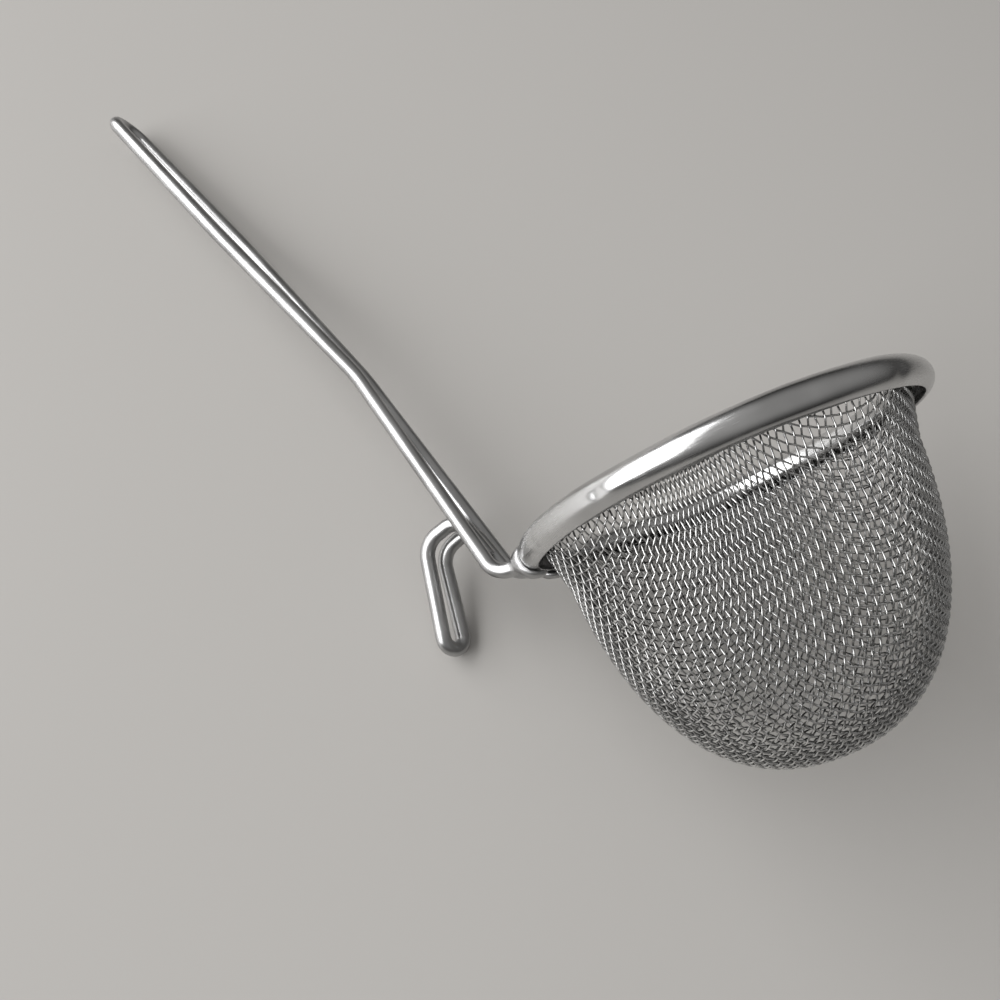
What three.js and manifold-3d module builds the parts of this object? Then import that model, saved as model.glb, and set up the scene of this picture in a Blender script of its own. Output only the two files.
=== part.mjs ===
// Tea strainer with a rolled steel rim, a deep woven basket, a long wire handle and a wire hook.
//
// The strainer is drawn upright: the rim's centre is the origin, the basket hangs down along -Z and
// the handle stands out along +X in the XZ plane. It is then laid on its side, as it lies on a
// table, where it rests on three points: the rim, the bend of the hook and the end of the handle.

import * as THREE from 'three';
import { mergeVertices } from 'three/addons/utils/BufferGeometryUtils.js';
import Module from 'manifold-3d';

// Every length is in millimetres and every angle is in degrees unless a name says otherwise.

// Rim: a sheet-steel tube bent into a ring, open underneath where the basket goes in.
const RIM_OUTER_DIAMETER = 78;
const RIM_TUBE_RADIUS = 2.85;
const RIM_WALL = 0.6;
const RIM_INNER_LIP_ANGLE = 200;
const RIM_OUTER_LIP_ANGLE = -75;
const RIM_SEGMENTS = 64;
const RIM_OUTSIDE_STEPS = 14;
const RIM_INSIDE_STEPS = 10;

// Basket: woven wire cloth pressed into a deep round bowl, here as one thin shell.
const BASKET_RADIUS = 32.7;
const BASKET_DEPTH = 52.2;
const BASKET_WALL = 0.2;
const BASKET_SIDE_POWER = 2.3;
const BASKET_TOP_ANGLE = 8;
const BASKET_LEAN = 2;
const BASKET_HEM_RADIUS = 34.6;
const BASKET_HEM_TOP = 0.4;
const BASKET_HEM_BOTTOM = -1.2;
const BASKET_SEGMENTS = 48;
const BASKET_STEPS = 16;

// Round wire of the handle and of the hook.
const WIRE_DIAMETER = 3.0;
const WIRE_SIDES = 8;
const WELD_GAP = 0.3;

// Handle: one wire folded into a hairpin, with both legs bent alike.
const HANDLE_BEND = { x: 44.8, z: 0.0 };
const HANDLE_KINK = { x: 57.3, z: 50.3 };
const HANDLE_TIP = { x: 89.2, z: 134.7 };
const HANDLE_FOOT_HEIGHT = -0.4;
const HANDLE_FOOT_HALF_GAP = 5.5;
const HANDLE_KINK_HALF_GAP = 1.8;
const HANDLE_BELLY_HALF_GAP = 5.8;
const HANDLE_TIP_HALF_GAP = 4.1;
const HANDLE_BELLY_SHARE = 0.53;
const HANDLE_BEND_RADIUS = 5;
const HANDLE_KINK_RADIUS = 25;
const HANDLE_BELLY_RADIUS = 60;
const HANDLE_STEPS = 150;

// Saddle: the flattened end of each handle leg, curled round the rim's tube.
const SADDLE_THICKNESS = 1.3;
const SADDLE_WIDTH = 5;
const SADDLE_TOP_ANGLE = 50;
const SADDLE_BOTTOM_ANGLE = -100;
const SADDLE_STEPS = 8;
const SADDLE_WIRE_SINK = 0.87;

// Hook: a second hairpin, welded between the handle's legs, that hangs the strainer on a cup.
const HOOK_FOOT_HEIGHT = 3.2;
const HOOK_TURN = { x: 48.4, z: 12.7 };
const HOOK_SHOULDER = { x: 56.45, z: 10.9 };
const HOOK_END = { x: 60.2, z: -10.6 };
const HOOK_HALF_GAP = 1.65;
const HOOK_SHOULDER_HALF_GAP = 1.85;
const HOOK_END_HALF_GAP = 2.45;
const HOOK_STAGGER = 1.2;
const HOOK_SHOULDER_TWIST = 0.35;
const HOOK_END_TWIST = 0.62;
const HOOK_TURN_RADIUS = 3.5;
const HOOK_SHOULDER_RADIUS = 5;
const HOOK_STEPS = 84;

// Lying pose: the turn about the basket's own axis, then the tilt of that axis from level.
const LYING_ROLL = 53.74;
const LYING_PITCH = -7.73;

// Finish: the bare drawn or rolled steel of each piece, as a colour and a roughness.
const RIM_STEEL = { color: 0xb9b9b7, roughness: 0.28 };
const MESH_STEEL = { color: 0xa9a9a6, roughness: 0.35 };
const HANDLE_STEEL = { color: 0xc4c4c2, roughness: 0.3 };
const HOOK_STEEL = { color: 0xc0c0be, roughness: 0.3 };

// Corners closer together than this are one corner.
const SAME_CORNER = 1e-4;

// A cubic curve's control arm as a share of radius * tan(turn / 4), which makes a round bend.
const CURVE_HANDLE = 4 / 3;

const rad = THREE.MathUtils.degToRad;
const wireRadius = WIRE_DIAMETER / 2;
const rimRadius = RIM_OUTER_DIAMETER / 2 - RIM_TUBE_RADIUS;

const wasm = await Module();
wasm.setup();

// A point of the rim's cross-section: an angle of 0 faces outward and 90 faces the mouth.
function rimPoint(radius, degrees) {
  return new THREE.Vector2(
    rimRadius + radius * Math.cos(rad(degrees)),
    radius * Math.sin(rad(degrees)),
  );
}

// Points on an arc of the rim's cross-section, both ends included.
function rimArc(radius, from, to, steps) {
  const points = [];
  for (let i = 0; i <= steps; i += 1) {
    points.push(rimPoint(radius, THREE.MathUtils.lerp(from, to, i / steps)));
  }
  return points;
}

// A solid of revolution about Z from a profile of (radius, height) points that closes on itself
// or starts and ends on the axis.
function revolve(profile, segments) {
  const geometry = new THREE.LatheGeometry(profile, segments);
  geometry.rotateX(Math.PI / 2);
  return geometry;
}

function rimGeometry() {
  const lips = [RIM_OUTER_LIP_ANGLE, RIM_INNER_LIP_ANGLE];
  const outside = rimArc(RIM_TUBE_RADIUS, ...lips, RIM_OUTSIDE_STEPS);
  const inside = rimArc(RIM_TUBE_RADIUS - RIM_WALL, ...lips, RIM_INSIDE_STEPS);
  return revolve([...outside, ...inside.reverse(), outside[0]], RIM_SEGMENTS);
}

// Half of the basket's section, from the hem down to the axis: a straight hem inside the rim, then
// a superellipse.
function basketProfile(inset) {
  const points = [
    new THREE.Vector2(BASKET_HEM_RADIUS - inset, BASKET_HEM_TOP),
    new THREE.Vector2(BASKET_HEM_RADIUS - inset, BASKET_HEM_BOTTOM),
  ];
  const power = 2 / BASKET_SIDE_POWER;
  for (let i = 1; i < BASKET_STEPS; i += 1) {
    const angle = rad(THREE.MathUtils.lerp(BASKET_TOP_ANGLE, 90, i / BASKET_STEPS));
    const radius = (BASKET_RADIUS - inset) * Math.cos(angle) ** power;
    points.push(new THREE.Vector2(radius, -(BASKET_DEPTH - inset) * Math.sin(angle) ** power));
  }
  points.push(new THREE.Vector2(0, inset - BASKET_DEPTH));
  return points;
}

// Slides every point below a level towards the handle, in step with its depth.
function leanBelow(geometry, level, slope) {
  const points = geometry.attributes.position;
  for (let i = 0; i < points.count; i += 1) {
    const depth = Math.max(0, level - points.getZ(i));
    points.setX(i, points.getX(i) + slope * depth);
  }
}

function basketGeometry() {
  const outside = basketProfile(0).reverse();
  const inside = basketProfile(BASKET_WALL);
  const geometry = revolve([...outside, ...inside], BASKET_SEGMENTS);
  leanBelow(geometry, BASKET_HEM_BOTTOM, Math.tan(rad(BASKET_LEAN)));
  return geometry;
}

// A path of straight runs joined by round bends: one radius for each inner corner.
function roundedPath(corners, radii) {
  const path = new THREE.CurvePath();
  let from = corners[0];
  for (let i = 1; i < corners.length - 1; i += 1) {
    const corner = corners[i];
    const back = corners[i - 1].clone().sub(corner).normalize();
    const ahead = corners[i + 1].clone().sub(corner).normalize();
    const turn = Math.PI - back.angleTo(ahead);
    const reach = radii[i - 1] * Math.tan(turn / 2);
    const pull = reach - CURVE_HANDLE * radii[i - 1] * Math.tan(turn / 4);
    const start = corner.clone().addScaledVector(back, reach);
    const end = corner.clone().addScaledVector(ahead, reach);
    path.add(new THREE.LineCurve3(from, start));
    path.add(new THREE.CubicBezierCurve3(
      start,
      corner.clone().addScaledVector(back, pull),
      corner.clone().addScaledVector(ahead, pull),
      end,
    ));
    from = end;
  }
  path.add(new THREE.LineCurve3(from, corners[corners.length - 1]));
  return path;
}

// A round wire along a path.
function wireGeometry(path, steps) {
  const section = new THREE.Shape();
  for (let i = 0; i < WIRE_SIDES; i += 1) {
    const angle = (2 * Math.PI * (i + 0.5)) / WIRE_SIDES;
    const x = wireRadius * Math.cos(angle);
    const y = wireRadius * Math.sin(angle);
    if (i === 0) section.moveTo(x, y);
    else section.lineTo(x, y);
  }
  return new THREE.ExtrudeGeometry(section, { steps, extrudePath: path, bevelEnabled: false });
}

// The corners of a hairpin whose two legs mirror each other in the XZ plane.
function hairpin(leg) {
  const far = leg.map((point) => new THREE.Vector3(point.x, -point.y, point.z));
  return [...leg, ...far.reverse()];
}

// A unit vector in the XZ plane from one corner to the next.
function along(from, to) {
  return new THREE.Vector3(to.x - from.x, 0, to.z - from.z).normalize();
}

// A corner given in the XZ plane, moved out to one side.
function beside(corner, halfGap) {
  return new THREE.Vector3(corner.x, halfGap, corner.z);
}

// Where the centre of the rim's tube lies beside the XZ plane, at the handle's feet.
function rimCentreAtFoot() {
  return Math.sqrt(rimRadius ** 2 - HANDLE_FOOT_HALF_GAP ** 2);
}

function handlePath() {
  const up = along(HANDLE_KINK, HANDLE_TIP);
  const kink = beside(HANDLE_KINK, HANDLE_KINK_HALF_GAP);
  const tip = beside(HANDLE_TIP, 0).addScaledVector(up, -wireRadius);
  const belly = beside(HANDLE_KINK, 0).lerp(tip, HANDLE_BELLY_SHARE);
  belly.y = HANDLE_BELLY_HALF_GAP;
  const foot = new THREE.Vector3(
    rimCentreAtFoot() + RIM_TUBE_RADIUS + WELD_GAP + SADDLE_THICKNESS - SADDLE_WIRE_SINK,
    HANDLE_FOOT_HALF_GAP,
    HANDLE_FOOT_HEIGHT,
  );
  const leg = [foot, beside(HANDLE_BEND, HANDLE_FOOT_HALF_GAP), kink, belly,
    beside(tip, HANDLE_TIP_HALF_GAP)];
  const bends = [HANDLE_BEND_RADIUS, HANDLE_KINK_RADIUS, HANDLE_BELLY_RADIUS, HANDLE_TIP_HALF_GAP];
  return roundedPath(hairpin(leg), [...bends, ...bends.toReversed()]);
}

// One saddle, in the plane of the rim's cross-section at that foot.
function saddleGeometry(side) {
  const near = RIM_TUBE_RADIUS + WELD_GAP;
  const far = near + SADDLE_THICKNESS;
  const section = new THREE.Shape();
  section.absarc(0, 0, far, rad(SADDLE_BOTTOM_ANGLE), rad(SADDLE_TOP_ANGLE), false);
  section.absarc(0, 0, near, rad(SADDLE_TOP_ANGLE), rad(SADDLE_BOTTOM_ANGLE), true);
  const geometry = new THREE.ExtrudeGeometry(section, {
    depth: SADDLE_WIDTH,
    steps: 1,
    curveSegments: SADDLE_STEPS,
    bevelEnabled: false,
  });
  geometry.translate(0, 0, -SADDLE_WIDTH / 2);
  geometry.rotateX(Math.PI / 2);
  geometry.translate(rimRadius, 0, 0);
  geometry.rotateZ(side * Math.asin(HANDLE_FOOT_HALF_GAP / rimRadius));
  return geometry;
}

// A closed geometry as a solid that can be joined to another.
function solid(geometry) {
  const bare = geometry.clone();
  bare.deleteAttribute('normal');
  bare.deleteAttribute('uv');
  const merged = mergeVertices(bare, SAME_CORNER);
  return new wasm.Manifold(new wasm.Mesh({
    numProp: 3,
    vertProperties: new Float32Array(merged.attributes.position.array),
    triVerts: new Uint32Array(merged.index.array),
  }));
}

function geometryOf(body) {
  const mesh = body.getMesh();
  const geometry = new THREE.BufferGeometry();
  geometry.setAttribute('position', new THREE.BufferAttribute(mesh.vertProperties, 3));
  geometry.setIndex(new THREE.BufferAttribute(mesh.triVerts, 1));
  geometry.computeVertexNormals();
  return geometry;
}

function handleGeometry() {
  const wire = solid(wireGeometry(handlePath(), HANDLE_STEPS));
  return geometryOf(wire.add(solid(saddleGeometry(1))).add(solid(saddleGeometry(-1))));
}

// The hook's two halves are staggered along the handle and its arms are twisted a little, so one
// arm stands further out than the other.
function hookPath() {
  const up = along(HANDLE_BEND, HANDLE_KINK);
  const down = along(HOOK_SHOULDER, HOOK_END);
  const rise = (HOOK_FOOT_HEIGHT - HANDLE_BEND.z) / up.z;
  const foot = beside(HANDLE_BEND, HOOK_HALF_GAP).addScaledVector(up, rise);
  const turn = beside(HOOK_TURN, HOOK_HALF_GAP);
  const shoulder = beside(HOOK_SHOULDER, HOOK_SHOULDER_HALF_GAP);
  const end = beside(HOOK_END, HOOK_END_HALF_GAP).addScaledVector(down, -wireRadius);
  const corners = hairpin([foot, turn, shoulder, end]);
  const twists = [0, 0, HOOK_SHOULDER_TWIST, HOOK_END_TWIST];
  [...twists, ...twists.toReversed()].forEach((twist, i) => {
    const side = Math.sign(corners[i].y);
    corners[i].addScaledVector(up, side * HOOK_STAGGER);
    corners[i].x += side * twist;
  });
  const bends = [HOOK_TURN_RADIUS, HOOK_SHOULDER_RADIUS, HOOK_END_HALF_GAP];
  return roundedPath(corners, [...bends, ...bends.toReversed()]);
}

function steelMesh(name, geometry, finish) {
  const material = new THREE.MeshStandardMaterial({ ...finish, metalness: 1 });
  const mesh = new THREE.Mesh(geometry, material);
  mesh.name = name;
  return mesh;
}

// Lays the strainer down and puts the origin under the middle of its box, on the table.
function layDown(strainer) {
  const laid = new THREE.Group();
  strainer.rotation.z = rad(LYING_ROLL);
  laid.rotation.y = rad(90 + LYING_PITCH);
  laid.add(strainer);
  const part = new THREE.Group();
  part.add(laid);
  part.updateMatrixWorld(true);
  const box = new THREE.Box3().setFromObject(part, true);
  const middle = box.getCenter(new THREE.Vector3());
  laid.position.set(-middle.x, -middle.y, -box.min.z);
  return part;
}

const strainer = new THREE.Group();
strainer.add(
  steelMesh('rim', rimGeometry(), RIM_STEEL),
  steelMesh('basket', basketGeometry(), MESH_STEEL),
  steelMesh('handle', handleGeometry(), HANDLE_STEEL),
  steelMesh('hook', wireGeometry(hookPath(), HOOK_STEPS), HOOK_STEEL),
);

export default layDown(strainer);
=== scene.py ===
"""A wire-cloth tea strainer lying on a pale counter: rolled rim, woven basket, wire handle and hook.

Lengths are millimetres in the strainer's own upright frame, unless a comment says otherwise: the rim's
centre is the origin, the basket hangs along -Z and the handle rises from the rim's +X side. laid_down()
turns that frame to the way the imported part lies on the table, in metres.
"""

import math

import bpy
import numpy as np
from mathutils import Matrix, Vector


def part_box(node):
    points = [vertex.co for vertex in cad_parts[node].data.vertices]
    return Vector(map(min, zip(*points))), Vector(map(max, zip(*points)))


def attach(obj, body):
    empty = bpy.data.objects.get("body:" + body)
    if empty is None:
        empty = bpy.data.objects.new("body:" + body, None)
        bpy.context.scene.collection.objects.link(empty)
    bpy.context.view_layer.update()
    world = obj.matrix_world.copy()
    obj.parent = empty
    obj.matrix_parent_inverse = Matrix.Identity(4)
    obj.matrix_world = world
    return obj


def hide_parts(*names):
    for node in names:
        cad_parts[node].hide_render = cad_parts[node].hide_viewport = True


# Pose: the turn about the basket's axis, then the tilt of that axis from level, in degrees.
LYING_ROLL = 53.74
LYING_PITCH = -7.73
MILLIMETRE = 0.001

# Rim: sheet steel rolled into a C-shaped tube. Degrees round the tube go from outward (0) to up (90).
RIM_RADIUS = 36.15
RIM_TUBE_RADIUS = 2.85
RIM_WALL = 0.6
RIM_LIPS = (-75, 200)
RIM_SEGMENTS = 360
RIM_SECTION_STEPS = 36
RIM_LIP_STEPS = 4
# Each wave of the rolled sheet: depth, cycles round the ring, cycles round the tube, start in radians.
RIM_WAVES = ((0.06, 3, 0, 0.7), (0.036, 7, 1, 0), (0.024, 13, 0, 0))
# Each dent: degrees round the ring, degrees round the tube, depth and radius.
RIM_DENTS = (
    (67, -6, 0.16, 1.5),
    (38, -18, 0.18, 1.6),
    (33, -56, 0.14, 1.4),
    (146, -22, 0.15, 2.2),
    (120, 30, 0.06, 3),
)
DENT_STEEPNESS = 2

# Bowl: its section is a superellipse under a straight hem. It leans a little to one side, in degrees.
BOWL_RADIUS = 32.6
BOWL_DEPTH = 52.1
BOWL_POWER = 2.3
BOWL_TOP_ANGLE = 8
BOWL_LEAN = 2
BOWL_STEPS = 400
HEM_RADIUS = 34.5
HEM_BOTTOM = -1.2
HEM_TOP = 0.9

# Cloth: plain weave of round wire. Turn is the middle wires' turn about the basket's axis, in degrees.
# Slack is the share of its flat, square layout that the cloth keeps when it is pressed. Rings are
# counted from one crossing to the next.
CLOTH_PITCH = 1.6
CLOTH_WIRE = 0.36
CLOTH_TURN = 42
CLOTH_SLACK = 0.15
CLOTH_SIDES = 5
CLOTH_RINGS = 4
# The grid of crossings is laid out past the hem, where the wires are cut. Extra is how far the hem is
# drawn out for that, and reach is half the grid's width as a share of the way from bottom to hem.
CLOTH_EXTRA = 60
CLOTH_REACH = 1.35
# Each crossing is found by Newton's method with slopes over this nudge, unless its two wires nearly
# line up.
CROSSING_NUDGE = 1e-3
CROSSING_TRIES = 5
CROSSING_LEAST_SLOPE = 0.05

# Handle: one 3 mm wire folded into a hairpin. Each corner is (x, y, z) of one leg. The bends are the
# radii at its corners, from the rim to the tip.
WIRE_RADIUS = 1.5
WIRE_SIDES = 24
WIRE_SPACING = 0.7
BEND_LEAST_STEPS = 6
HANDLE_FOOT = (40.8, 5.5, -0.3)
HANDLE_BEND = (44.8, 5.5, 0.0)
HANDLE_KINK = (57.3, 1.8, 50.3)
HANDLE_TIP = (89.2, 4.1, 134.7)
HANDLE_BELLY_SHARE = 0.53
HANDLE_BELLY_HALF_GAP = 5.8
HANDLE_BENDS = (4.2, 25, 60, 4.1)

# Saddle: how each leg's end flattens and curls round the rim. Each ring: distance from the middle of
# the rim's tube, half its height, half its width, degrees round the tube, and share of the curl.
SADDLE_RINGS = (
    (4.90, 1.60, 1.58, 0, 0.0),
    (4.74, 1.80, 1.68, -3, 0.25),
    (4.58, 2.25, 1.84, -7, 0.5),
    (4.42, 2.90, 2.06, -12, 0.75),
    (4.25, 3.65, 2.30, -17, 0.95),
    (4.00, 4.35, 2.50, -20, 1.0),
    (3.65, 4.85, 2.64, -21, 1.0),
    (3.30, 4.95, 2.66, -21, 1.0),
    (3.14, 4.75, 2.52, -21, 1.0),
)
SADDLE_CURL_RADIUS = 3.8
SADDLE_SQUARENESS = 0.3
SADDLE_SWELL = 0.08
SADDLE_SWELL_LENGTH = 4

# Hook: a second hairpin between the handle's legs, with its halves staggered along the handle and
# twisted apart by the amount given at each corner.
HOOK_FOOT_HEIGHT = 3.2
HOOK_TURN = (48.4, 1.65, 12.7)
HOOK_SHOULDER = (56.45, 1.85, 10.9)
HOOK_END = (60.2, 2.45, -10.6)
HOOK_HALF_GAP = 1.65
HOOK_STAGGER = 1.2
HOOK_TWISTS = (0, 0, 0.35, 0.62)
HOOK_BENDS = (3.5, 5, 2.45)
HOOK_CUT_ROUNDING = 0.3
HOOK_CUT_STEPS = 5

# Directions in the strainer's frame. FLAT drops the sideways part of a vector.
UP = np.array((0.0, 0.0, 1.0))
SIDEWAYS = np.array((0.0, 1.0, 0.0))
FLAT = np.array((1.0, 0.0, 1.0))
TINY = 1e-9

# Finishes: the ranges of colour and roughness, the grain's cycles to the millimetre round and along
# the piece, its depth in metres, and the patches' cycles to the metre.
RIM_FINISH = {
    "dark": (0.52, 0.52, 0.52),
    "light": (0.72, 0.72, 0.72),
    "roughness": (0.16, 0.30),
    "grain": (6, 0.35, 1),
    "grain_depth": 8e-6,
    "patches": 70,
}
MESH_FINISH = {
    "dark": (0.5, 0.5, 0.5),
    "light": (0.68, 0.68, 0.67),
    "roughness": (0.10, 0.22),
    "grain": (4, 0.8, 1),
    "grain_depth": 5e-6,
    "patches": 60,
}
WIRE_FINISH = {
    "dark": (0.36, 0.36, 0.36),
    "light": (0.52, 0.52, 0.52),
    "roughness": (0.28, 0.40),
    "grain": (5, 0.3, 1),
    "grain_depth": 1.2e-5,
    "patches": 120,
}
# Noise seldom leaves the middle of its range, so that part is spread over the whole of the colours.
GRAIN_DETAIL = 5
GRAIN_STRENGTH = 0.35
PATCH_DETAIL = 3
NOISE_RANGE = (0.3, 0.7)
NOISE_SUM_RANGE = (0.7, 1.3)
# Painted shade: the cloth's colour is darkened by this factor, from its deepest to its highest parts, so
# it is darkest where the wires dip under a crossing and on their inward sides.
PAINTED_SHADE_CROWN_RANGE = (0.15, 0.75)
PAINTED_SHADE_FACTORS = (0.12, 1.0)

# Counter: nearly plain, with faint clouds.
COUNTER_SIZE = 16.0
COUNTER_DARK = (0.50, 0.485, 0.465)
COUNTER_LIGHT = (0.53, 0.515, 0.495)
COUNTER_CLOUDS = 4
COUNTER_DETAIL = 2
COUNTER_ROUGHNESS = 0.32
COUNTER_GLOSS = 0.4

# Camera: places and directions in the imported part's frame, in metres; lens and sensor in millimetres.
CAMERA_PLACE = (-0.0919, 0.0789, 0.1880)
CAMERA_FORWARD = (0.3320, -0.3327, -0.8827)
CAMERA_UP = (0.8497, -0.3009, 0.4330)
CAMERA_LENS = 36
CAMERA_SENSOR = 36
CAMERA_NEAREST = 0.01

# Light: one large window, in metres and watts, in a dark room with a pale ceiling. The ceiling starts
# where a direction's upward share reaches the figure given.
WINDOW_PLACE = (0.62, 1.36, 0.85)
WINDOW_SIZE = (3.0, 1.4)
WINDOW_POWER = 60
WALL_BRIGHTNESS = 0.035
CEILING_BRIGHTNESS = 0.34
CEILING_START = 0.9
ROOM_TINT = (1.0, 0.985, 0.965)


def unit(vector):
    return vector / np.linalg.norm(vector)


def laid_down():
    """The strainer's own frame, in millimetres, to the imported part's frame, in metres."""
    low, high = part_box("rim")
    turn = Matrix.Rotation(math.radians(90 + LYING_PITCH), 4, "Y")
    roll = Matrix.Rotation(math.radians(LYING_ROLL), 4, "Z")
    return Matrix.Translation((low + high) / 2) @ turn @ roll @ Matrix.Scale(MILLIMETRE, 4)


class Shape:
    """Vertices and faces that grow ring by ring.

    Each vertex has a place on the surface, as (round, along) in millimetres, and a crown, which is how far
    it
    stands out of the cloth: 0 where it lies deepest and 1 where it stands highest. The cloth's material
    uses the crown to paint shade.
    """

    def __init__(self):
        self.vertices = []
        self.crowns = []
        self.places = []
        self.faces = []
        self.count = 0

    def add_rings(self, rings, places, closed=False, crowns=1.0):
        """Joins each ring of vertices to the next; closed joins the last ring to the first."""
        rows, sides = rings.shape[:2]
        index = np.arange(rows * sides).reshape(rows, sides) + self.count
        if closed:
            index = np.vstack([index, index[:1]])
        turned = np.roll(index, -1, axis=1)
        quads = np.stack([index[:-1], turned[:-1], turned[1:], index[1:]], axis=-1)
        self.faces += quads.reshape(-1, 4).tolist()
        self.vertices.append(rings.reshape(-1, 3))
        self.crowns.append(np.broadcast_to(crowns, rings.shape[:2]).ravel())
        self.places.append(places.reshape(-1, 2))
        self.count += rows * sides
        return index

    def add_rod(self, rings, places, crowns=1.0):
        """Joins each ring to the next and closes both ends with a flat face."""
        index = self.add_rings(rings, places, crowns=crowns)
        self.faces.append(index[0, ::-1].tolist())
        self.faces.append(index[-1].tolist())

    def piece(self, name, material):
        """The finished object, laid down on the table."""
        matrix = np.array(laid_down())
        vertices = np.concatenate(self.vertices) @ matrix[:3, :3].T + matrix[:3, 3]
        mesh = bpy.data.meshes.new(name)
        mesh.from_pydata(vertices.tolist(), [], self.faces)
        corners = np.zeros(len(mesh.loops), int)
        mesh.loops.foreach_get("vertex_index", corners)
        layer = mesh.uv_layers.new(name="surface_mm")
        layer.data.foreach_set("uv", np.concatenate(self.places)[corners].astype(np.float32).ravel())
        crown = mesh.attributes.new("crown", "FLOAT", "POINT")
        crown.data.foreach_set("value", np.concatenate(self.crowns).astype(np.float32))
        mesh.shade_smooth()
        mesh.materials.append(material)
        thing = bpy.data.objects.new(name, mesh)
        bpy.context.scene.collection.objects.link(thing)
        return thing


def rounded_path(corners, bends):
    """Points along straight runs joined by round bends, one bend radius for each inner corner."""
    points = [corners[0]]
    for before, corner, after, radius in zip(corners, corners[1:], corners[2:], bends):
        back = unit(before - corner)
        ahead = unit(after - corner)
        turn = math.pi - math.acos(np.clip(back @ ahead, -1, 1))
        reach = radius * math.tan(turn / 2)
        pull = reach - 4 / 3 * radius * math.tan(turn / 4)
        arms = [corner + step for step in (back * reach, back * pull, ahead * pull, ahead * reach)]
        add_run(points, arms[0])
        add_bend(points, arms, radius * turn)
    add_run(points, corners[-1])
    return np.array(points)


def add_run(points, end):
    """A straight run from the last point to end."""
    start = points[-1]
    steps = max(1, round(np.linalg.norm(end - start) / WIRE_SPACING))
    points.extend(start + (end - start) * i / steps for i in range(1, steps + 1))


def add_bend(points, arms, length):
    """A cubic curve on four control points, the first of which is the last point; length is rough."""
    steps = max(BEND_LEAST_STEPS, round(2 * length / WIRE_SPACING))
    for i in range(1, steps + 1):
        t = i / steps
        shares = ((1 - t) ** 3, 3 * t * (1 - t) ** 2, 3 * t**2 * (1 - t), t**3)
        points.append(sum(share * arm for share, arm in zip(shares, arms)))


def hairpin(leg):
    """The corners of a leg, then those of its mirror image in the XZ plane, from the far end back."""
    near = [np.array(corner, float) for corner in leg]
    far = [corner * (1, -1, 1) for corner in near]
    return near + far[::-1]


def distances(path):
    """How far along the path each of its points lies."""
    steps = np.linalg.norm(np.diff(path, axis=0), axis=1)
    return np.concatenate([[0], np.cumsum(steps)])


def directions(path):
    steps = np.gradient(path, axis=0)
    return steps / np.linalg.norm(steps, axis=1)[:, None]


def steady_normals(path, normal):
    """A normal for each point of the path, starting near the given one and turning as little as it can."""
    normals = []
    for tangent in directions(path):
        normal = unit(normal - tangent * (normal @ tangent))
        normals.append(normal)
    return np.array(normals)


def round_rings(path, normals, radii, sides):
    """A ring of points round each point of the path, whose first point lies along the normal."""
    turns = np.arange(sides) * 2 * math.pi / sides
    sideways = np.cross(directions(path), normals)
    outward = np.cos(turns)[:, None] * normals[:, None] + np.sin(turns)[:, None] * sideways[:, None]
    return path[:, None] + np.broadcast_to(radii, len(path))[:, None, None] * outward


def rod_places(path, radius, sides):
    """Each ring point's place on a rod of that radius, as (round, along)."""
    turns = np.arange(sides) * 2 * math.pi / sides
    return np.stack(np.broadcast_arrays(turns * radius, distances(path)[:, None]), axis=-1)


def rim_section():
    """The closed C-shaped section as (radius, angle) round the tube, with rounded lips."""
    start, end = (math.radians(lip) for lip in RIM_LIPS)
    outer = RIM_TUBE_RADIUS
    inner = outer - RIM_WALL
    middle = (outer + inner) / 2
    arc = np.linspace(start, end, RIM_SECTION_STEPS)
    lip = np.linspace(0, math.pi, RIM_LIP_STEPS + 2)[1:-1]
    bulge = RIM_WALL / 2 * np.sin(lip) / middle
    swing = RIM_WALL / 2 * np.cos(lip)
    outside = np.full(len(arc), outer)
    inside = np.full(len(arc), inner)
    radius = np.concatenate([outside, middle + swing, inside, middle - swing])
    angle = np.concatenate([arc, end + bulge, arc[::-1], start - bulge])
    return radius, angle


def angle_past(angle, degrees):
    """How far an angle is past that many degrees, the short way round, in radians."""
    return (angle - math.radians(degrees) + math.pi) % (2 * math.pi) - math.pi


def dent_depth(ring, tube):
    """How far the sheet is pushed in at an angle round the ring and an angle round the tube."""
    depth = 0
    for ring_degrees, tube_degrees, deep, radius in RIM_DENTS:
        across = angle_past(ring, ring_degrees) * RIM_RADIUS
        down = angle_past(tube, tube_degrees) * RIM_TUBE_RADIUS
        away = np.hypot(across, down) / radius
        depth = depth + deep * np.exp(-DENT_STEEPNESS * away**2)
    return depth


def wave_height(ring, tube):
    """How far the unevenness of the rolled sheet lifts it, at those two angles."""
    height = 0
    for deep, rounds, twists, start in RIM_WAVES:
        height = height + deep * np.sin(rounds * ring + twists * tube + start)
    return height


def rim_shape():
    shape = Shape()
    radius, tube = rim_section()
    radius = radius[::-1]
    tube = tube[::-1]
    ring = np.arange(RIM_SEGMENTS)[:, None] * 2 * math.pi / RIM_SEGMENTS
    radius = radius + wave_height(ring, tube) - dent_depth(ring, tube)
    out = RIM_RADIUS + radius * np.cos(tube)
    rings = np.stack([out * np.cos(ring), out * np.sin(ring), radius * np.sin(tube)], axis=-1)
    places = np.stack(np.broadcast_arrays(tube * RIM_TUBE_RADIUS, ring * RIM_RADIUS), axis=-1)
    shape.add_rings(rings, places, closed=True)
    return shape


def bowl_section():
    """The bowl's section as columns of distance from the bottom, radius and height."""
    angles = np.radians(np.linspace(90, BOWL_TOP_ANGLE, BOWL_STEPS))
    radius = BOWL_RADIUS * np.cos(angles) ** (2 / BOWL_POWER)
    height = -BOWL_DEPTH * np.sin(angles) ** (2 / BOWL_POWER)
    radius = np.concatenate([[0], radius[1:], [HEM_RADIUS, HEM_RADIUS]])
    height = np.concatenate([height, [HEM_BOTTOM, HEM_TOP + CLOTH_EXTRA]])
    return distances(np.stack([radius, height], axis=-1)), radius, height


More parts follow.
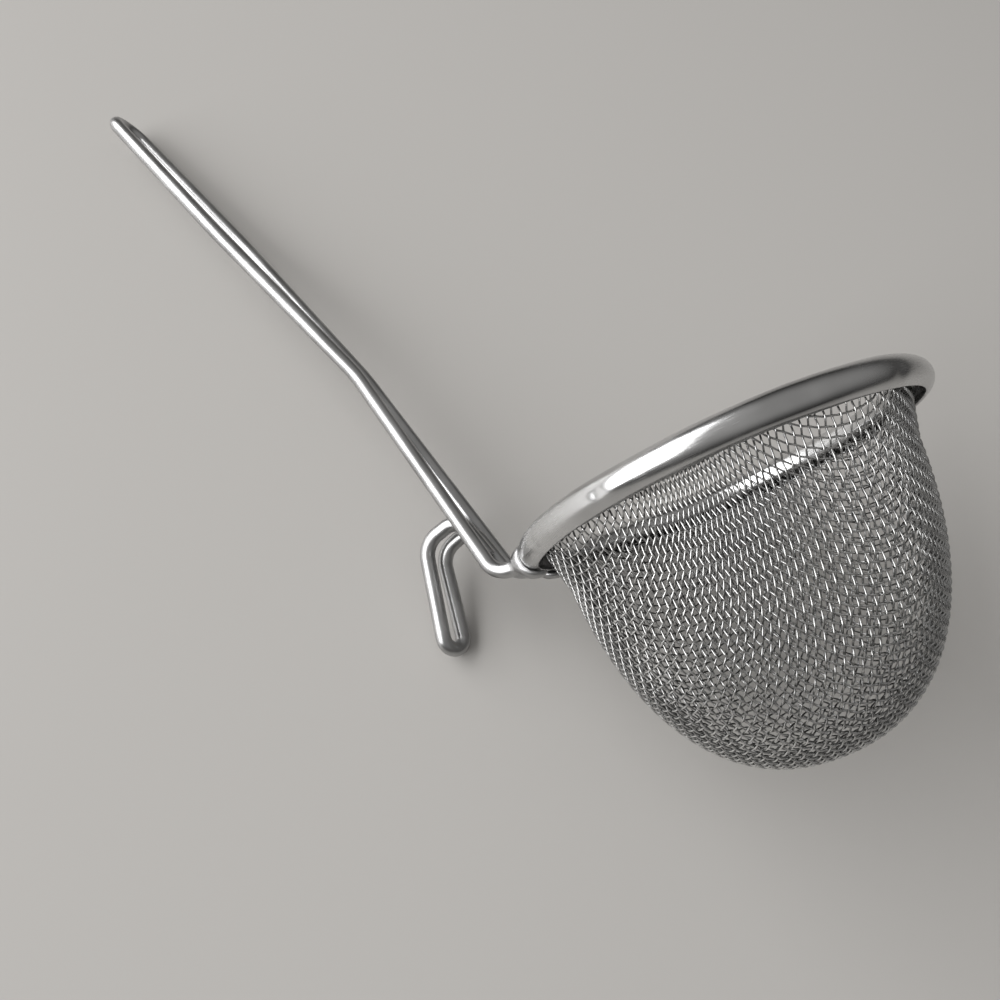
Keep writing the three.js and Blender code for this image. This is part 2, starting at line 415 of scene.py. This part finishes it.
class Bowl:
    """The bowl's surface. A place on it is a pair: how far from the bottom it lies, and which way.

    The pair is a flat vector. Its length is the distance along the surface, and its direction the heading.
    """

    def __init__(self):
        self.away, self.radius, self.height = bowl_section()
        self.hem = self.away[-1] - CLOTH_EXTRA
        self.out_slope = np.gradient(self.radius, self.away)
        self.up_slope = np.gradient(self.height, self.away)

    def split(self, places):
        """Each place's distance from the bottom, and its direction."""
        away = np.maximum(np.hypot(places[..., 0], places[..., 1]), TINY)
        return away, places / away[..., None]

    def point(self, places):
        """The surface point of each place, before the bowl leans."""
        away, heading = self.split(places)
        out = np.interp(away, self.away, self.radius)[..., None] * heading
        up = np.interp(away, self.away, self.height)[..., None]
        return np.concatenate([out, up], axis=-1)

    def normal(self, places):
        """The surface's outward direction at each place."""
        away, heading = self.split(places)
        out = np.interp(away, self.away, self.up_slope)[..., None] * heading
        up = -np.interp(away, self.away, self.out_slope)[..., None]
        normals = np.concatenate([out, up], axis=-1)
        return normals / np.linalg.norm(normals, axis=-1)[..., None]

    def crossing(self, guess, first, second):
        """The place that lies one pitch from two points of the surface."""
        place = guess
        tries = np.array([[0, 0], [CROSSING_NUDGE, 0], [0, CROSSING_NUDGE]])
        for _ in range(CROSSING_TRIES):
            points = self.point(place + tries)
            gaps = np.stack([np.linalg.norm(points - p, axis=-1) for p in (first, second)]) - CLOTH_PITCH
            slopes = (gaps[:, 1:] - gaps[:, :1]) / CROSSING_NUDGE
            if abs(np.linalg.det(slopes)) < CROSSING_LEAST_SLOPE:
                return guess
            place = place - np.linalg.solve(slopes, gaps[:, 0])
        return place

    def lean(self, points):
        """The points below the hem, moved sideways as the bowl leans."""
        slope = math.tan(math.radians(BOWL_LEAN))
        leaned = points.copy()
        leaned[:, 0] += slope * np.maximum(0, HEM_BOTTOM - points[:, 2])
        return leaned


def cloth_crossings(bowl):
    """Places of the crossings of the woven cloth, as a square grid about the bowl's bottom.

    Wires keep their spacing where they cross, so square cells shear into diamonds as the cloth is
    pressed into the bowl. The two middle wires stay straight, and one quarter is mirrored to the rest.
    """
    size = int(CLOTH_REACH * bowl.hem / CLOTH_PITCH)
    steps = np.arange(size) * CLOTH_PITCH
    quarter = np.zeros((size, size, 2))
    quarter[:, 0, 0] = steps
    quarter[0, :, 1] = steps
    for i in range(1, size):
        for j in range(1, size):
            first, second = quarter[i - 1, j], quarter[i, j - 1]
            guess = first + second - quarter[i - 1, j - 1]
            quarter[i, j] = bowl.crossing(guess, bowl.point(first), bowl.point(second))
    flat = np.stack(np.meshgrid(steps, steps, indexing="ij"), axis=-1)
    quarter += (flat - quarter) * CLOTH_SLACK
    half = np.concatenate([quarter[:0:-1] * (-1, 1), quarter])
    return np.concatenate([half[:, :0:-1] * (1, -1), half], axis=1)


def cloth_shape(bowl, crossings, first_over):
    """The wires of one direction, each going over and under the wires that cross it."""
    shape = Shape()
    for row, wire in enumerate(crossings):
        inside = np.flatnonzero(np.hypot(wire[:, 0], wire[:, 1]) <= bowl.hem)
        if len(inside) >= 2:
            knots = wire[inside[0] : inside[-1] + 1]
            add_cloth_wire(shape, bowl, knots, inside[0] + row + first_over)
    return shape


def add_cloth_wire(shape, bowl, knots, start):
    """One wire through its crossings; it goes over the first crossing if start is even."""
    cosine, sine = math.cos(math.radians(CLOTH_TURN)), math.sin(math.radians(CLOTH_TURN))
    steps = np.arange((len(knots) - 1) * CLOTH_RINGS + 1) / CLOTH_RINGS
    places = np.stack([np.interp(steps, np.arange(len(knots)), column) for column in knots.T], axis=-1)
    places = places @ np.array([[cosine, sine], [-sine, cosine]])
    crimp = np.cos(math.pi * (steps + start))[:, None]
    normals = bowl.normal(places)
    path = bowl.lean(bowl.point(places) + normals * crimp * CLOTH_WIRE / 2)
    rings = round_rings(path, normals, CLOTH_WIRE / 2, CLOTH_SIDES)
    outward = np.cos(np.arange(CLOTH_SIDES) * 2 * math.pi / CLOTH_SIDES)
    # The crown sets the cloth's painted shade: low where the wire dips under a crossing and on its inward
    # side.
    crowns = (crimp + outward) / 4 + 0.5
    shape.add_rod(rings, rod_places(path, CLOTH_WIRE / 2, CLOTH_SIDES), crowns)


def handle_path():
    kink = np.array(HANDLE_KINK)
    tip = HANDLE_TIP - unit((HANDLE_TIP - kink) * FLAT) * WIRE_RADIUS
    belly = kink + (tip - kink) * HANDLE_BELLY_SHARE
    belly[1] = HANDLE_BELLY_HALF_GAP
    corners = hairpin([HANDLE_FOOT, HANDLE_BEND, kink, belly, tip])
    return rounded_path(corners, HANDLE_BENDS + HANDLE_BENDS[::-1])


def handle_radii(path):
    """The wire's radius along the path: it swells a little just before each saddle."""
    along = distances(path)
    from_end = np.minimum(along, along[-1] - along)
    return WIRE_RADIUS + SADDLE_SWELL * np.clip(1 - from_end / SADDLE_SWELL_LENGTH, 0, 1) ** 2


def rounded(wave, squareness):
    """A sine or cosine wave with flattened tops, which turns a circle into a rounded square."""
    return np.sign(wave) * np.abs(wave) ** (1 - squareness)


def saddle_ring(away, height, width, middle, curl):
    """One ring of a saddle as (out, across, up) from the middle of the rim's tube."""
    turns = np.arange(WIRE_SIDES) * 2 * math.pi / WIRE_SIDES
    high = height * rounded(np.cos(turns), SADDLE_SQUARENESS * curl)
    wide = width * rounded(np.sin(turns), SADDLE_SQUARENESS * curl)
    base = math.radians(middle)
    angle = base + high / SADDLE_CURL_RADIUS
    flat_out = away * math.cos(base) - high * math.sin(base)
    flat_up = away * math.sin(base) + high * math.cos(base)
    out = flat_out + (away * np.cos(angle) - flat_out) * curl
    up = flat_up + (away * np.sin(angle) - flat_up) * curl
    return np.stack([out, wide, up], axis=-1)


def saddle_rings(side):
    """Rings from the round wire to the flat face that hugs the rim, for the leg at +Y or -Y."""
    ring_angle = math.asin(side * HANDLE_FOOT[1] / RIM_RADIUS)
    out = np.array([math.cos(ring_angle), math.sin(ring_angle), 0])
    across = np.array([-math.sin(ring_angle), math.cos(ring_angle), 0])
    rings = np.array([saddle_ring(*ring) for ring in SADDLE_RINGS])
    return out * RIM_RADIUS + rings @ np.array([out, across, UP])


def matched(rings, join, goal):
    """The same rings, turned and mirrored so that the one numbered join best meets the goal ring."""
    ways = (rings, rings[:, ::-1])
    orders = [np.roll(way, turn, axis=1) for way in ways for turn in range(WIRE_SIDES)]
    return min(orders, key=lambda order: np.linalg.norm(order[join] - goal))


def handle_shape():
    shape = Shape()
    path = handle_path()
    wire = round_rings(path, steady_normals(path, UP), handle_radii(path), WIRE_SIDES)
    first = matched(saddle_rings(1)[::-1], -1, wire[0])
    last = matched(saddle_rings(-1), 0, wire[-1])
    rings = np.concatenate([first, wire, last])
    shape.add_rod(rings, rod_places(rings.mean(axis=1), WIRE_RADIUS, WIRE_SIDES))
    return shape


def hook_path():
    bend, kink = np.array(HANDLE_BEND), np.array(HANDLE_KINK)
    up = unit((kink - bend) * FLAT)
    down = unit((np.array(HOOK_END) - HOOK_SHOULDER) * FLAT)
    foot = bend * FLAT + up * (HOOK_FOOT_HEIGHT - bend[2]) / up[2] + SIDEWAYS * HOOK_HALF_GAP
    corners = hairpin([foot, HOOK_TURN, HOOK_SHOULDER, HOOK_END - down * WIRE_RADIUS])
    for corner, twist in zip(corners, HOOK_TWISTS + HOOK_TWISTS[::-1]):
        side = math.copysign(1, corner[1])
        corner += side * (up * HOOK_STAGGER + (twist, 0, 0))
    return rounded_path(corners, HOOK_BENDS + HOOK_BENDS[::-1])


def hook_shape():
    """The hook, with the edges of its two cut ends rounded off."""
    shape = Shape()
    path = hook_path()
    ways = directions(path)
    lean = np.linspace(0, math.pi / 2, HOOK_CUT_STEPS)
    inset = HOOK_CUT_ROUNDING * (1 - np.sin(lean))[:, None]
    narrow = WIRE_RADIUS - HOOK_CUT_ROUNDING * (1 - np.cos(lean))
    start = path[0] + ways[0] * inset
    finish = path[-1] - ways[-1] * inset
    middle = path[2:-2]
    path = np.concatenate([start[::-1], middle, finish])
    radii = np.concatenate([narrow[::-1], np.full(len(middle), WIRE_RADIUS), narrow])
    rings = round_rings(path, steady_normals(path, SIDEWAYS), radii, WIRE_SIDES)
    shape.add_rod(rings, rod_places(path, WIRE_RADIUS, WIRE_SIDES))
    return shape


class Nodes:
    """The node tree of a material or a world, with a short way to add and link nodes."""

    def __init__(self, owner, shader):
        owner.use_nodes = True
        self.owner = owner
        self.tree = owner.node_tree
        self.shader = self.tree.nodes[shader]

    def add(self, kind, inputs=None, **settings):
        node = self.tree.nodes.new("ShaderNode" + kind)
        for key, value in settings.items():
            setattr(node, key, value)
        for key, value in (inputs or {}).items():
            self.set(node, key, value)
        return node

    def set(self, node, key, value):
        """Links the input if value is a socket, and otherwise gives it that value."""
        if isinstance(value, bpy.types.NodeSocket):
            self.tree.links.new(value, node.inputs[key])
        else:
            node.inputs[key].default_value = value

    def shade(self, **inputs):
        """Sets inputs of the shader, by their names with _ for each space."""
        for key, value in inputs.items():
            self.set(self.shader, key.replace("_", " "), value)

    def noise(self, where, scale, detail):
        return self.add("TexNoise", {"Vector": where, "Scale": scale, "Detail": detail}).outputs["Fac"]

    def stretch(self, where, scale):
        return self.add("Mapping", {"Vector": where, "Scale": scale}).outputs["Vector"]

    def remap(self, value, source, target, **settings):
        inputs = {"Value": value, "From Min": source[0], "From Max": source[1]}
        inputs.update({"To Min": target[0], "To Max": target[1]})
        return self.add("MapRange", inputs, **settings).outputs["Result"]

    def blend(self, share, first, second, how="MIX"):
        # A colour Mix node has its share at input 0, its colours at 6 and 7, and its result at output 2.
        inputs = {0: share, 6: first, 7: second}
        return self.add("Mix", inputs, data_type="RGBA", blend_type=how).outputs[2]

    def bump(self, height, depth):
        inputs = {"Height": height, "Distance": depth, "Strength": GRAIN_STRENGTH}
        return self.add("Bump", inputs).outputs["Normal"]


def material_nodes(name):
    return Nodes(bpy.data.materials.new(name), "Principled BSDF")


def steel(name, dark, light, roughness, grain, grain_depth, patches):
    """Bare steel: fine grain drawn out along the piece, with softer patches of wear."""
    nodes = material_nodes(name)
    surface = nodes.add("UVMap", uv_map="surface_mm").outputs["UV"]
    place = nodes.add("TexCoord").outputs["Object"]
    lines = nodes.noise(nodes.stretch(surface, grain), 1, GRAIN_DETAIL)
    wear = nodes.noise(place, patches, PATCH_DETAIL)
    both = nodes.add("Math", {0: lines, 1: wear}, operation="ADD").outputs[0]
    colour = nodes.blend(nodes.remap(wear, NOISE_RANGE, (0, 1)), (*dark, 1), (*light, 1))
    rough = nodes.remap(both, NOISE_SUM_RANGE, roughness)
    nodes.shade(Metallic=1, Base_Color=colour, Roughness=rough, Normal=nodes.bump(lines, grain_depth))
    return nodes


def mesh_steel():
    """Wire cloth with painted shade: its colour is darkest where the wires dip under a crossing and on
    their inward sides, and lightest on their crowns.
    """
    nodes = steel("mesh_steel", **MESH_FINISH)
    colour = nodes.shader.inputs["Base Color"].links[0].from_socket
    # Painted shade: the colour is multiplied down towards dark where the crown is low.
    crown = nodes.add("Attribute", attribute_name="crown").outputs["Fac"]
    shade = nodes.remap(crown, PAINTED_SHADE_CROWN_RANGE, PAINTED_SHADE_FACTORS)
    nodes.shade(Base_Color=nodes.blend(1, colour, shade, "MULTIPLY"))
    return nodes.owner


def counter():
    """A pale worktop with a soft gloss."""
    nodes = material_nodes("counter")
    place = nodes.add("TexCoord").outputs["Object"]
    clouds = nodes.noise(place, COUNTER_CLOUDS, COUNTER_DETAIL)
    colour = nodes.blend(clouds, (*COUNTER_DARK, 1), (*COUNTER_LIGHT, 1))
    nodes.shade(Base_Color=colour, Roughness=COUNTER_ROUGHNESS, Specular_IOR_Level=COUNTER_GLOSS)
    return nodes.owner


def add_floor():
    bpy.ops.mesh.primitive_plane_add(size=COUNTER_SIZE)
    floor = bpy.context.object
    floor.name = "floor"
    floor.data.materials.append(counter())


def add_camera():
    forward, up = Vector(CAMERA_FORWARD), Vector(CAMERA_UP)
    right = forward.cross(up)
    data = bpy.data.cameras.new("camera")
    data.lens = CAMERA_LENS
    data.sensor_width = CAMERA_SENSOR
    data.clip_start = CAMERA_NEAREST
    camera = bpy.data.objects.new("camera", data)
    turn = Matrix((right, up, -forward)).transposed().to_4x4()
    camera.matrix_world = Matrix.Translation(CAMERA_PLACE) @ turn
    bpy.context.scene.collection.objects.link(camera)
    bpy.context.scene.camera = camera


def add_window():
    data = bpy.data.lights.new("window", "AREA")
    data.shape = "RECTANGLE"
    data.size, data.size_y = WINDOW_SIZE
    data.energy = WINDOW_POWER
    light = bpy.data.objects.new("window", data)
    light.location = WINDOW_PLACE
    light.rotation_euler = (-Vector(WINDOW_PLACE)).to_track_quat("-Z", "Y").to_euler()
    bpy.context.scene.collection.objects.link(light)


def add_room():
    """Dark walls that brighten towards a pale ceiling."""
    nodes = Nodes(bpy.data.worlds.new("room"), "Background")
    direction = nodes.add("TexCoord").outputs["Generated"]
    height = nodes.add("SeparateXYZ", {0: direction}).outputs["Z"]
    brightness = (WALL_BRIGHTNESS, CEILING_BRIGHTNESS)
    rise = nodes.remap(height, (0, CEILING_START), brightness, interpolation_type="SMOOTHSTEP")
    nodes.shade(Strength=rise, Color=(*ROOM_TINT, 1))
    bpy.context.scene.world = nodes.owner


def add_light():
    add_window()
    add_room()
    bpy.context.scene.view_settings.view_transform = "Standard"


def add_piece(shape, name, node, material):
    piece = shape.piece(name, material)
    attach(piece, "root")
    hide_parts(node)


def add_basket():
    """The basket's two directions of wire, which share one material."""
    bowl = Bowl()
    warp = cloth_crossings(bowl)
    weft = warp.transpose(1, 0, 2)
    cloth = mesh_steel()
    add_piece(cloth_shape(bowl, warp, 0), "basket_warp", "basket", cloth)
    add_piece(cloth_shape(bowl, weft, 1), "basket_weft", "basket", cloth)


def add_strainer():
    rim_steel = steel("rim_steel", **RIM_FINISH).owner
    handle_steel = steel("handle_steel", **WIRE_FINISH).owner
    hook_steel = steel("hook_steel", **WIRE_FINISH).owner
    add_piece(rim_shape(), "rim_ring", "rim", rim_steel)
    add_basket()
    add_piece(handle_shape(), "handle_wire", "handle", handle_steel)
    add_piece(hook_shape(), "hook_wire", "hook", hook_steel)


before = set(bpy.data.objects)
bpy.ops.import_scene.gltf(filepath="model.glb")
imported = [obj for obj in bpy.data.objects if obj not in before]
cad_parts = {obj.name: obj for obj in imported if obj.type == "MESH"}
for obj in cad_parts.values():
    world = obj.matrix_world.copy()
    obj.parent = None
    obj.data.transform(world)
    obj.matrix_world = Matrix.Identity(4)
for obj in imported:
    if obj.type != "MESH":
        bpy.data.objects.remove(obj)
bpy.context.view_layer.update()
add_strainer()
add_floor()
add_light()
add_camera()
